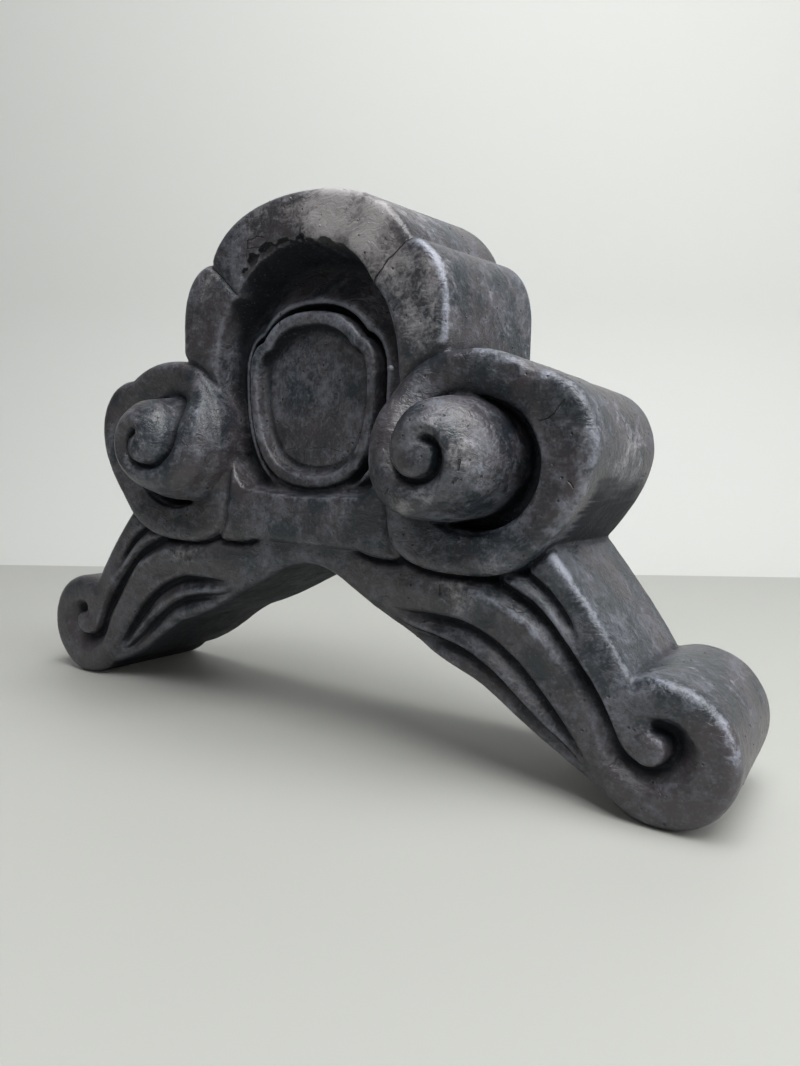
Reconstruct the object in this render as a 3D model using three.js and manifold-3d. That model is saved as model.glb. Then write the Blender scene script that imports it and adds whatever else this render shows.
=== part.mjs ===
// Roof end tile of smoked clay: a cusped crest with a niche, two cloud scrolls and two fluted legs.
// Millimetres. X runs across the tile, the carved face looks towards -Y, +Z is up.
// The origin is on the ground, midway across and midway between the scroll tips and the flat back.

import * as THREE from 'three';
import { mergeVertices } from 'three/addons/utils/BufferGeometryUtils.js';
import Module from 'manifold-3d';

const wasm = await Module();
wasm.setup();

// Planes from the front of the scrolls to the back
const backY = 59;
const scrollTipY = -55.15;
const rimFaceY = -28;
const crestFaceY = -27;
const cloudFaceY = -26.5;
const legFaceY = -22.5;

// Crest block
const crestTop = 275;
const crestCuspX = 64.7;
const crestCuspZ = 245.5;
const crestHalfWidth = 85.8;
const shoulderZ = 214;
const crestFootZ = 130;
const crestEdge = 2;
const sideTaper = 0.97;

// Niche, cut into the crest
const nicheTop = 251;
const nicheCuspX = 44.7;
const nicheCuspZ = 227.8;
const nicheHalfWidth = 60;
const nicheSideZ = 185;
const nicheCornerX = 40;
const nicheCornerZ = 127;
const nicheBottom = 125;
const nicheFloorY = -1;
const nicheFloorShare = 0.9;
const nicheDrop = 20;

// Raised ring and the oval panel inside it
const ringTop = 218;
const ringCuspX = 32.2;
const ringCuspZ = 203.8;
const ringHalfWidth = 42.3;
const ringSideZ = 186;
const ringBottom = 128.5;
const ringFaceY = -19.6;
const ringEdge = 2.5;
const panelOpeningShare = 0.86;
const panelFloorShare = 0.83;
const panelFloorY = -13.2;
const bandShare = 1.127;
const bandFootShare = 1.53;
const bandFaceY = -17;
const ringGrooveShare = 1.1;
const ringGrooveY = -6;

// Cloud below the niche
const cloudPeakZ = 114.5;
const cloudStepX = 25.4;
const cloudStepZ = 106.3;
const cloudHalfWidth = 59;
const cloudEndZ = 98;
const cloudTuck = 9;
const cloudTuckRise = 5;
const cloudEdge = 3;

// Scroll block beside the crest
const scrollCuspX = 129.5;
const scrollCuspZ = 185.5;
const scrollHalfWidth = 158;
const scrollWidestZ = 155;
const scrollTopX = 80;
const scrollTopZ = 193;
const scrollFootX = 134.8;
const scrollFootZ = 110;
const scrollBottomZ = 94.5;
const scrollBottomX = 96;
const scrollInnerX = 54;
const scrollInnerZ = 116.5;
const scrollEdge = 7;
const scrollEdgeDepth = 5;

// Conch spiral standing in the scroll block
const conchX = 92.1;
const conchZ = 146.5;
const eyeRadius = 8;
const coilRadius = 33.6;
const mouthRadius = 45;
const coilStart = 90;
const coilEnd = 480;
const mouthStart = 540;
const mouthLead = 10;
const mouthBlend = 60;
const mouthSink = 1;
const eyeStart = -180;
const spiralEnd = 720;
const biteStart = -20;
const biteEnd = 60;
const eyeSlope = 1;
const ridgeFall = 28;
const ridgeHold = 6;
const grooveFallStart = 180;
const grooveFall = 37;
const grooveBite = 6.5;
const mouthRise = 12;
const moatFloorY = -9;
const moatRadius = 33;
const moatFlare = 1;
const moatShiftX = 5.5;
const moatShiftZ = -3.5;
const conchBaseY = 3;
const conchBaseShift = 5;
const roundnessPower = 2.4;
const fullnessPower = 0.6;
const conchPerTurn = 24;
const conchStations = [0, 0.08, 0.28, 0.55, 0.8, 0.94, 1];

// Leg: shared underside and upper edge
const archTop = 89.3;
const archShoulderX = 38;
const archShoulderZ = 74.5;
const kneeX = 98;
const kneeZ = 46.3;
const ankleX = 163.5;
const ankleZ = 9.5;
const heelX = 181;
const heelZ = 4;
const legTopX = 120;
const legTopZ = 128;
const instepX = 174;
const instepZ = 62;
const legEdge = 4;

// Foot volute
const footX = 188.2;
const footZ = 31;
const footRadius = 31.8;
const footFaceY = -24;
const footEdge = 7;
const footEyeX = 186;
const footEyeZ = 35;
const footEyeRadius = 8.7;
const footGrooveGrowth = 20;
const footGrooveRadius = 4.2;
const footGrooveDepth = 5;
const footGrooveFirst = -15;
const footGrooveEase = 120;
const footGrooveLast = 345;
const footGrooveSteps = 16;
const footGroovePower = 2.3;

// Flutes along the leg: the ends of each gouge in X and Z, its radius and its depth
const upperFluteStart = [40, 76];
const upperFluteEnd = [167, 16];
const lowerFluteStart = [45, 76];
const lowerFluteEnd = [161, 14];
const valleyStart = [100, 98];
const valleyEnd = [168, 36];
const scoreStart = [121, 106];
const scoreEnd = [156, 67];
const fluteRadius = 4.4;
const fluteDepth = 4;
const valleyRadius = 7;
const valleyDepth = 5;
const scoreRadius = 3.2;
const scoreDepth = 3.2;
const fluteFade = 0.22;

const curveSteps = 9;
const roundSteps = 14;
const gougeSteps = 16;
const gougeSides = 5;
const margin = 20;
const overlap = 1;
const outside = 400;

function toSolid(geometry) {
  const bare = geometry.index ? geometry : geometry.clone();
  bare.deleteAttribute('normal');
  bare.deleteAttribute('uv');
  const merged = mergeVertices(bare, 1e-3);
  const triVerts = new Uint32Array(merged.index.array);
  const vertProperties = new Float32Array(merged.attributes.position.array);
  return new wasm.Manifold(new wasm.Mesh({ numProp: 3, vertProperties, triVerts }));
}

function toGeometry(solid) {
  const mesh = solid.getMesh();
  const geometry = new THREE.BufferGeometry();
  geometry.setAttribute('position', new THREE.BufferAttribute(new Float32Array(mesh.vertProperties), 3));
  geometry.setIndex(new THREE.BufferAttribute(new Uint32Array(mesh.triVerts), 1));
  geometry.computeVertexNormals();
  return geometry;
}

function mirrored(solid) {
  const mesh = solid.getMesh();
  const vertProperties = new Float32Array(mesh.vertProperties);
  for (let i = 0; i < vertProperties.length; i += 3) vertProperties[i] *= -1;
  const triVerts = new Uint32Array(mesh.triVerts);
  for (let i = 0; i < triVerts.length; i += 3) {
    [triVerts[i], triVerts[i + 1]] = [triVerts[i + 1], triVerts[i]];
  }
  return new wasm.Manifold(new wasm.Mesh({ numProp: 3, vertProperties, triVerts }));
}

function bothSides(solid) {
  return solid.add(mirrored(solid));
}

// Points along a run of curves and straight lines. A curve gives its end and how it leaves and
// arrives, each as shares of its reach across and up.
function tracePoints(start, runs, steps = curveSteps) {
  const path = new THREE.Path();
  path.moveTo(...start);
  for (const { to, leave, arrive } of runs) {
    const from = path.currentPoint.clone();
    const [across, up] = [to[0] - from.x, to[1] - from.y];
    if (leave) {
      path.bezierCurveTo(
        from.x + across * leave[0],
        from.y + up * leave[1],
        to[0] - across * arrive[0],
        to[1] - up * arrive[1],
        to[0],
        to[1],
      );
    } else path.lineTo(...to);
  }
  const points = [];
  for (const curve of path.curves) {
    const count = curve.isLineCurve ? 1 : steps;
    for (let i = 0; i < count; i += 1) points.push(curve.getPoint(i / count));
  }
  points.push(path.currentPoint.clone());
  return points;
}

// A closed outline from its right half, which starts on the centre line
function mirroredOutline(start, runs) {
  const right = tracePoints(start, runs);
  const left = right.filter((p) => p.x > 1e-3).reverse().map((p) => new THREE.Vector2(-p.x, p.y));
  return right.concat(left);
}

function counterClockwise(points) {
  return THREE.ShapeUtils.isClockWise(points) ? points.slice().reverse() : points;
}

// A slab with the outline in the XZ plane, from its eased front face to past the back plane.
// Its sides draw in towards the back, until the outline there is the taper's share of itself.
function slab(outline, faceY, edge, edgeDepth = edge, taper = 1) {
  const shape = new THREE.Shape(counterClockwise(outline));
  const geometry = new THREE.ExtrudeGeometry(shape, {
    depth: backY + margin - faceY - edgeDepth,
    bevelEnabled: true,
    bevelThickness: edgeDepth,
    bevelSize: edge,
    bevelOffset: -edge,
    bevelSegments: edge > legEdge ? 2 : 1,
  });
  geometry.rotateX(Math.PI / 2);
  geometry.translate(0, backY + margin, 0);
  const corners = geometry.attributes.position;
  for (let i = 0; i < corners.count; i += 1) {
    const depthShare = Math.max(0, corners.getY(i) - faceY - edgeDepth) / (backY - faceY - edgeDepth);
    const share = 1 - (1 - taper) * depthShare;
    corners.setXYZ(i, corners.getX(i) * share, corners.getY(i), corners.getZ(i) * share);
  }
  return toSolid(geometry);
}

function box(low, high) {
  const size = high.clone().sub(low);
  const middle = low.clone().add(high).multiplyScalar(0.5);
  const geometry = new THREE.BoxGeometry(size.x, size.y, size.z);
  geometry.translate(middle.x, middle.y, middle.z);
  return toSolid(geometry);
}

function scaledOutline(outline, share, middleZ) {
  return outline.map((p) => new THREE.Vector2(p.x * share, middleZ + (p.y - middleZ) * share));
}

// A tapering plug between a front and a back outline with as many points each
function plug(frontOutline, frontY, rearOutline, rearY) {
  const front = counterClockwise(frontOutline);
  const rear = counterClockwise(rearOutline);
  const count = front.length;
  const positions = [];
  for (const p of front) positions.push(p.x, frontY, p.y);
  for (const p of rear) positions.push(p.x, rearY, p.y);
  const index = [];
  for (const [a, b, c] of THREE.ShapeUtils.triangulateShape(front, [])) {
    index.push(a, b, c);
    index.push(count + a, count + c, count + b);
  }
  for (let i = 0; i < count; i += 1) {
    const next = (i + 1) % count;
    index.push(i, count + i, count + next);
    index.push(i, count + next, next);
  }
  const geometry = new THREE.BufferGeometry();
  geometry.setAttribute('position', new THREE.Float32BufferAttribute(positions, 3));
  geometry.setIndex(index);
  return toSolid(geometry);
}

// A round gouge that dips into a face along a path and runs out of it where the path fades
function gouge(points, radius, depth, faceY, fadesIn, fadesOut) {
  const section = new THREE.Shape();
  section.absarc(0, 0, radius, 0, Math.PI * 2);
  const last = points.length - 1;
  const route = points.map((point, i) => {
    const along = i / last;
    const rising = fadesIn ? THREE.MathUtils.smoothstep(along, -fluteFade / 4, fluteFade) : 1;
    const falling = fadesOut ? THREE.MathUtils.smoothstep(1 - along, -fluteFade / 4, fluteFade) : 1;
    const sunk = (depth + radius) * Math.min(rising, falling) - 2 * radius;
    return new THREE.Vector3(point.x, faceY + sunk, point.y);
  });
  const geometry = new THREE.ExtrudeGeometry(section, {
    steps: last,
    curveSegments: gougeSides,
    extrudePath: new THREE.CatmullRomCurve3(route, false, 'centripetal'),
    bevelEnabled: false,
  });
  return toSolid(geometry);
}

function circleOutline(x, z, radius) {
  const round = new THREE.Path();
  round.absarc(x, z, radius, 0, Math.PI * 2);
  return round.getPoints(roundSteps).slice(0, -1);
}

function crestOutline() {
  return mirroredOutline([0, crestTop], [
    { to: [crestCuspX, crestCuspZ], leave: [0.46, 0], arrive: [0.13, 0.7] },
    { to: [crestHalfWidth, shoulderZ], leave: [0.45, 0], arrive: [0, 0.67] },
    { to: [crestHalfWidth, crestFootZ] },
  ]);
}

function nicheOutline() {
  return mirroredOutline([0, nicheTop], [
    { to: [nicheCuspX, nicheCuspZ], leave: [0.54, 0], arrive: [0.18, 0.65] },
    { to: [nicheHalfWidth, nicheSideZ], leave: [0.52, 0.14], arrive: [0, 0.5] },
    { to: [nicheCornerX, nicheCornerZ], leave: [0, 0.43], arrive: [0.8, 0.22] },
    { to: [0, nicheBottom], leave: [0.3, 0.83], arrive: [0.3, 0] },
  ]);
}

function ringOutline() {
  return mirroredOutline([0, ringTop], [
    { to: [ringCuspX, ringCuspZ], leave: [0.53, 0], arrive: [0.19, 0.63] },
    { to: [ringHalfWidth, ringSideZ], leave: [0.6, 0.05], arrive: [0, 0.6] },
    { to: [0, ringBottom], leave: [0, 0.72], arrive: [0.68, 0] },
  ]);
}

function cloudOutline() {
  return mirroredOutline([0, cloudPeakZ], [
    { to: [cloudStepX, cloudStepZ], leave: [0.32, 0.12], arrive: [0.28, 0.43] },
    { to: [cloudHalfWidth, cloudEndZ], leave: [0.27, 0.84], arrive: [0.45, -0.24] },
    { to: [cloudHalfWidth + cloudTuck, cloudEndZ + cloudTuckRise] },
    { to: [cloudHalfWidth + cloudTuck, crestFootZ + margin] },
  ]);
}

function scrollOutline() {
  return tracePoints([scrollTopX, scrollTopZ], [
    { to: [scrollCuspX, scrollCuspZ], leave: [0.4, -0.8], arrive: [0.22, 1.07] },
    { to: [scrollHalfWidth, scrollWidestZ], leave: [0.6, 0], arrive: [0, 0.56] },
    { to: [scrollFootX, scrollFootZ], leave: [0, 0.33], arrive: [0.52, 0.31] },
    { to: [scrollBottomX, scrollBottomZ], leave: [0.23, 0.71], arrive: [0.41, 0] },
    { to: [scrollInnerX, scrollInnerZ], leave: [0.38, 0], arrive: [0, 1] },
    { to: [scrollTopX, scrollTopZ], leave: [-0.27, 0.61], arrive: [0.85, 0.08] },
  ]).slice(0, -1);
}

function legOutline() {
  return mirroredOutline([0, archTop], [
    { to: [archShoulderX, archShoulderZ], leave: [0.37, 0], arrive: [0.37, 0.51] },
    { to: [kneeX, kneeZ], leave: [0.37, 0.43], arrive: [0.3, 0.21] },
    { to: [ankleX, ankleZ], leave: [0.3, 0.22], arrive: [0.46, 0.26] },
    { to: [heelX, heelZ] },
    { to: [footX, footZ] },
    { to: [instepX, instepZ] },
    { to: [legTopX, legTopZ], leave: [0.22, 0.27], arrive: [0.48, 0.39] },
  ]);
}

// Distance of the spiral groove from the conch's axis, at an angle in degrees clockwise from the top
function grooveReach(angle) {
  if (angle < 0) return eyeRadius * (angle - eyeStart) / -eyeStart;
  const coil = THREE.MathUtils.smoothstep(angle, coilStart, coilEnd);
  const mouth = THREE.MathUtils.smoothstep(angle, mouthStart, spiralEnd);
  return eyeRadius + (coilRadius - eyeRadius) * coil + (mouthRadius - coilRadius) * mouth;
}

// Depth of the groove: shallow round the eye, deep at the outer side, then rising into the mouth
function grooveLevel(angle) {
  const fade = THREE.MathUtils.smoothstep(angle, eyeStart, 0);
  const bite = THREE.MathUtils.smoothstep(angle, biteStart, biteEnd);
  const fall = THREE.MathUtils.smoothstep(angle, grooveFallStart, coilEnd);
  const coiled = scrollTipY + eyeSlope * fade + grooveBite * bite + grooveFall * fall;
  const opening = THREE.MathUtils.smoothstep(angle, mouthStart + mouthBlend, spiralEnd);
  const open = THREE.MathUtils.lerp(rimFaceY - mouthRise, rimFaceY + mouthSink, opening);
  const mouth = THREE.MathUtils.smoothstep(angle, mouthStart - mouthLead, mouthStart + mouthBlend);
  return THREE.MathUtils.lerp(Math.min(coiled, moatFloorY), open, mouth);
}

function ridgeLevel(angle) {
  return scrollTipY + eyeSlope + ridgeFall * (Math.max(angle, 0) / spiralEnd) ** ridgeHold;
}

// A point of the conch between one turn of the groove and the next
function conchPoint(angle, across) {
  const inner = angle < eyeStart + 360 ? 0 : grooveReach(angle - 360);
  const outer = grooveReach(angle);
  const innerLevel = angle < eyeStart + 360 ? scrollTipY : grooveLevel(angle - 360);
  const outerLevel = grooveLevel(angle);
  const reach = THREE.MathUtils.lerp(inner, outer, across);
  const straight = THREE.MathUtils.lerp(innerLevel, outerLevel, across);
  const middle = (innerLevel + outerLevel) / 2;
  const roundness = (1 - Math.abs(2 * across - 1) ** roundnessPower) ** fullnessPower;
  const level = straight + (ridgeLevel(angle) - middle) * roundness;
  const turn = THREE.MathUtils.degToRad(angle);
  return [conchX + reach * Math.sin(turn), level, conchZ + reach * Math.cos(turn)];
}

// The conch as one sheet wound from its eye to its mouth, with a wall and a floor inside the block
function conch() {
  const perTurn = conchPerTurn;
  const lastRow = conchStations.length - 1;
  const steps = Math.round(perTurn * (spiralEnd - eyeStart) / 360);
  const angleAt = (i) => eyeStart + i * 360 / perTurn;
  const positions = [...conchPoint(eyeStart, 0)];
  const ids = new Map();
  const addPoint = (point) => {
    positions.push(...point);
    return positions.length / 3 - 1;
  };
  const id = (i, j) => {
    if (i === 0 || (j === 0 && i < perTurn)) return 0;
    if (j === 0) return id(i - perTurn, lastRow);
    const key = i * conchStations.length + j;
    if (!ids.has(key)) ids.set(key, addPoint(conchPoint(angleAt(i), conchStations[j])));
    return ids.get(key);
  };
  const index = [];
  const addTriangle = (a, b, c) => {
    if (a !== b && b !== c && a !== c) index.push(a, b, c);
  };
  for (let i = 0; i < steps; i += 1) {
    for (let j = 0; j < lastRow; j += 1) {
      addTriangle(id(i, j), id(i + 1, j), id(i + 1, j + 1));
      addTriangle(id(i, j), id(i + 1, j + 1), id(i, j + 1));
    }
  }
  const baseOf = (vertex) => addPoint([positions[vertex * 3], conchBaseY, positions[vertex * 3 + 2]]);
  const rimStart = steps - perTurn;
  const bases = [];
  for (let i = rimStart; i <= steps; i += 1) bases.push(baseOf(id(i, lastRow)));
  const middle = addPoint([conchX - conchBaseShift, conchBaseY, conchZ]);
  for (let i = 0; i < perTurn; i += 1) {
    const top = id(rimStart + i, lastRow);
    const nextTop = id(rimStart + i + 1, lastRow);
    addTriangle(top, nextTop, bases[i + 1]);
    addTriangle(top, bases[i + 1], bases[i]);
    addTriangle(middle, bases[i], bases[i + 1]);
  }
  const firstBase = bases[0];
  const lastBase = bases[perTurn];
  addTriangle(middle, lastBase, firstBase);
  addTriangle(firstBase, lastBase, id(steps, lastRow));
  for (let j = lastRow; j > 0; j -= 1) addTriangle(firstBase, id(steps, j), id(steps, j - 1));
  const geometry = new THREE.BufferGeometry();
  geometry.setAttribute('position', new THREE.Float32BufferAttribute(positions, 3));
  geometry.setIndex(index);
  return toSolid(geometry);
}

function crestBody() {
  const niche = nicheOutline();
  const ring = ringOutline();
  const ringMiddle = (ringTop + ringBottom) / 2;
  const nicheMiddle = (nicheTop + nicheBottom) / 2 - nicheDrop;
  const open = crestFaceY - margin;
  const nicheSlope = (1 - nicheFloorShare) / (nicheFloorY - crestFaceY);
  const nicheMouth = scaledOutline(niche, 1 + nicheSlope * margin, nicheMiddle);
  const nicheFloor = scaledOutline(niche, nicheFloorShare, nicheMiddle);
  const band = scaledOutline(ring, bandShare, ringMiddle);
  const bandFoot = scaledOutline(ring, bandFootShare, ringMiddle);
  const ringGroove = scaledOutline(ring, ringGrooveShare, ringMiddle);
  const panelSlope = (panelOpeningShare - panelFloorShare) / (panelFloorY - ringFaceY);
  const panelMouth = scaledOutline(ring, panelOpeningShare + panelSlope * margin, ringMiddle);
  const panelFloor = scaledOutline(ring, panelFloorShare, ringMiddle);
  return slab(crestOutline(), crestFaceY, crestEdge)
    .add(slab(cloudOutline(), cloudFaceY, cloudEdge))
    .subtract(plug(nicheMouth, open, nicheFloor, nicheFloorY))
    .add(plug(band, bandFaceY, bandFoot, nicheFloorY + overlap))
    .subtract(plug(band, bandFaceY - overlap, ringGroove, ringGrooveY))
    .add(slab(ring, ringFaceY, ringEdge))
    .subtract(plug(panelMouth, ringFaceY - margin, panelFloor, panelFloorY));
}

function moat() {
  const [x, z] = [conchX + moatShiftX, conchZ + moatShiftZ];
  const mouth = circleOutline(x, z, moatRadius + moatFlare);
  return plug(mouth, rimFaceY - overlap, circleOutline(x, z, moatRadius - moatFlare), moatFloorY);
}

function scrollBlock() {
  return slab(scrollOutline(), rimFaceY, scrollEdge, scrollEdgeDepth, sideTaper);
}

function footBody() {
  const outline = circleOutline(footX, footZ, footRadius);
  return slab(outline, footFaceY, footEdge, footEdge, sideTaper);
}

// The volute's groove opens from a tight eye until it meets the leg
function footGroove() {
  const route = [];
  for (let i = 0; i <= footGrooveSteps; i += 1) {
    const angle = THREE.MathUtils.lerp(footGrooveFirst, footGrooveLast, i / footGrooveSteps);
    const growth = Math.max(0, (angle - footGrooveEase) / (footGrooveLast - footGrooveEase));
    const reach = footEyeRadius + footGrooveGrowth * growth ** footGroovePower;
    const turn = THREE.MathUtils.degToRad(angle);
    route.push(new THREE.Vector2(footEyeX + reach * Math.sin(turn), footEyeZ + reach * Math.cos(turn)));
  }
  return gouge(route, footGrooveRadius, footGrooveDepth, footFaceY, false, false);
}

function flutes() {
  const upper = tracePoints(upperFluteStart, [
    { to: upperFluteEnd, leave: [0.53, -0.03], arrive: [0.28, 0.56] },
  ], gougeSteps);
  const lower = tracePoints(lowerFluteStart, [
    { to: lowerFluteEnd, leave: [0.41, 0.05], arrive: [0.3, 0.47] },
  ], gougeSteps);
  const valley = tracePoints(valleyStart, [
    { to: valleyEnd, leave: [0.32, 0.02], arrive: [0.23, 0.58] },
  ], gougeSteps);
  const score = tracePoints(scoreStart, [
    { to: scoreEnd, leave: [0.26, 0.2], arrive: [0.29, 0.36] },
  ], gougeSteps);
  return gouge(upper, fluteRadius, fluteDepth, legFaceY, true, true)
    .add(gouge(lower, fluteRadius, fluteDepth, legFaceY, true, true))
    .add(gouge(valley, valleyRadius, valleyDepth, legFaceY, false, false))
    .add(gouge(score, scoreRadius, scoreDepth, legFaceY, false, true));
}

function legBody() {
  return slab(legOutline(), legFaceY, legEdge, legEdge, sideTaper)
    .subtract(bothSides(flutes()))
    .add(bothSides(footBody()))
    .subtract(bothSides(footGroove()));
}

function tileBody() {
  const farCorner = new THREE.Vector3(outside, outside, outside);
  const behind = box(new THREE.Vector3(-outside, backY, -outside), farCorner);
  const below = box(farCorner.clone().negate(), new THREE.Vector3(outside, outside, 0));
  return crestBody()
    .add(legBody())
    .add(bothSides(scrollBlock()))
    .subtract(bothSides(moat()))
    .add(bothSides(conch()))
    .subtract(behind)
    .subtract(below);
}

const smokedClay = new THREE.MeshStandardMaterial({ color: 0x474a50, roughness: 0.6, metalness: 0 });

const tile = new THREE.Mesh(toGeometry(tileBody()), smokedClay);
tile.name = 'roof_end_tile';

const group = new THREE.Group();
group.add(tile);

export default group;
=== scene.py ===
import math
import bpy
import numpy as np
import openvdb
from mathutils import Matrix, Vector


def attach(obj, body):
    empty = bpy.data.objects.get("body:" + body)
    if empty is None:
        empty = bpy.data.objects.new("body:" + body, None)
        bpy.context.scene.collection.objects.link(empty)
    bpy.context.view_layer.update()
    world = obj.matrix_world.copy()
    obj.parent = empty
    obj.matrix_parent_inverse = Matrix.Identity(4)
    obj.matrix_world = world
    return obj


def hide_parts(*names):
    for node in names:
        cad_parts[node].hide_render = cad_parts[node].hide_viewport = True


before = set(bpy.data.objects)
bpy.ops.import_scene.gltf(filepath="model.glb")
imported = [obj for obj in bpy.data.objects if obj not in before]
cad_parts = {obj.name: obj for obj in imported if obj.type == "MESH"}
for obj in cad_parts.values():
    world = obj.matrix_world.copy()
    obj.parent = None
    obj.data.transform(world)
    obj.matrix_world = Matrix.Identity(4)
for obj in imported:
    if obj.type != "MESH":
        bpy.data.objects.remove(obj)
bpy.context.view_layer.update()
print("frame loaded")

# The tile is sculpted in millimetres on a grid of its right half, then mirrored
tileShape = {
    "voxel": 1.0,            # grain of the sculpting grid
    "triangles": 180000,     # most that the finished mesh may have before its grit
    "backY": 59.0,
    "tipY": -58.2,           # eye of the conches, the foremost point
    "rimY": -28.0,
    "crestY": -27.0,
    "cloudY": -26.5,
    "footY": -24.0,
    "legY": -22.5,
    "ringY": -19.6,
    "panelY": -13.2,
    "bandY": -17.2,
    "nicheY": -1.0,
    "moatY": -8.0,
    "ringGrooveY": -5.0,
    "taper": 0.97,           # scrolls, legs and feet draw in to this share at the back
    "conch": (92.1, 146.5),
    "moat": (97.8, 145.0),
    "moatHalf": (35.0, 32.2),
    "foot": (188.2, 31.0),
    "footRadius": 31.8,
    "nicheMiddleZ": 166.0,   # heights about which the niche and its ring draw in
    "ringMiddleZ": 173.25,
}

voxel = tileShape["voxel"]
gridX = np.arange(0, 227, voxel)
gridY = np.arange(-62, 63.5, voxel)
gridZ = np.arange(-4, 280, voxel)
acrossX, upZ = np.meshgrid(gridX, gridZ, indexing="ij")


def ease(low, high, value):
    share = np.clip((value - low) / (high - low), 0, 1)
    return share * share * (3 - 2 * share)


def bezierOutline(start, runs, steps=22):
    # each run: its end, and how it leaves and arrives as shares of its reach
    points = [np.array(start, float)]
    for end, leave, arrive in runs:
        first, last = points[-1], np.array(end, float)
        span = last - first
        a, b = first + span * leave, last - span * arrive
        for t in np.arange(1, steps + 1) / steps:
            points.append(first * (1 - t) ** 3 + 3 * a * t * (1 - t) ** 2
                          + 3 * b * t * t * (1 - t) + last * t ** 3)
    return np.array(points)


def bothHalves(points):
    left = points[::-1] * [-1, 1]
    return np.vstack([points, left[np.abs(left[:, 0]) > 0.001]])


def outlineDistance(points):
    # millimetres to a closed outline, below zero inside it
    nearest = np.full(acrossX.shape, 1e9)
    inside = np.zeros(acrossX.shape, bool)
    for (ax, az), (bx, bz) in zip(points, np.roll(points, -1, axis=0)):
        ex, ez = bx - ax, bz - az
        share = np.clip(((acrossX - ax) * ex + (upZ - az) * ez) / (ex * ex + ez * ez + 1e-9), 0, 1)
        nearest = np.minimum(nearest, (acrossX - ax - share * ex) ** 2 + (upZ - az - share * ez) ** 2)
        if az != bz:
            inside ^= ((az > upZ) != (bz > upZ)) & (acrossX < ax + (upZ - az) / ez * ex)
    return np.where(inside, -1, 1) * np.sqrt(nearest)


def pathDistance(knots, steps=8):
    # millimetres to a curve through the knots, the share along it, and -1 or 1 for its side
    knots = np.array(knots, float)
    ends = np.vstack([2 * knots[0] - knots[1], knots, 2 * knots[-1] - knots[-2]])
    points = []
    for i in range(1, len(ends) - 2):
        p, q, r, s = ends[i - 1:i + 3]
        for t in np.arange(steps) / steps:
            points.append(0.5 * (2 * q + (r - p) * t + (2 * p - 5 * q + 4 * r - s) * t * t
                                 + (3 * q - p - 3 * r + s) * t ** 3))
    points.append(knots[-1])
    points = np.array(points)
    lengths = np.hypot(*np.diff(points, axis=0).T)
    total, passed = lengths.sum(), 0.0
    nearest = np.full(acrossX.shape, 1e9)
    along = np.zeros(acrossX.shape)
    side = np.ones(acrossX.shape)
    for (ax, az), (bx, bz), length in zip(points[:-1], points[1:], lengths):
        ex, ez = bx - ax, bz - az
        share = np.clip(((acrossX - ax) * ex + (upZ - az) * ez) / (length * length), 0, 1)
        gap = np.hypot(acrossX - ax - share * ex, upZ - az - share * ez)
        closer = gap < nearest
        nearest[closer] = gap[closer]
        along[closer] = ((passed + share * length) / total)[closer]
        side[closer] = np.sign(ex * (upZ - az) - ez * (acrossX - ax))[closer]
        passed += length
    return nearest, along, side


def scaledField(field, share, middleZ=0.0):
    # the field of an outline scaled about a point of the centre line
    rows = np.clip(gridX / share / voxel, 0, len(gridX) - 1.001)
    columns = np.clip((middleZ + (gridZ - middleZ) / share - gridZ[0]) / voxel, 0, len(gridZ) - 1.001)
    i, k = rows.astype(int), columns.astype(int)
    shareI, shareK = (rows - i)[:, None], (columns - k)[None, :]
    mixed = field[i] * (1 - shareI) + field[i + 1] * shareI
    return (mixed[:, k] * (1 - shareK) + mixed[:, k + 1] * shareK) * share


def roundedBoth(a, b, radius):
    # where both solids are, with the edge between them rounded
    corner = np.hypot(np.maximum(a + radius, 0), np.maximum(b + radius, 0))
    return np.minimum(np.maximum(a, b), -radius) + corner


def frontField(level):
    # a carved front as its level and the share by which a step in Y is a step across the surface
    slopeX, slopeZ = np.gradient(level, voxel)
    return level, np.maximum(1 / np.sqrt(1 + slopeX ** 2 + slopeZ ** 2), 0.2)


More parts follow.
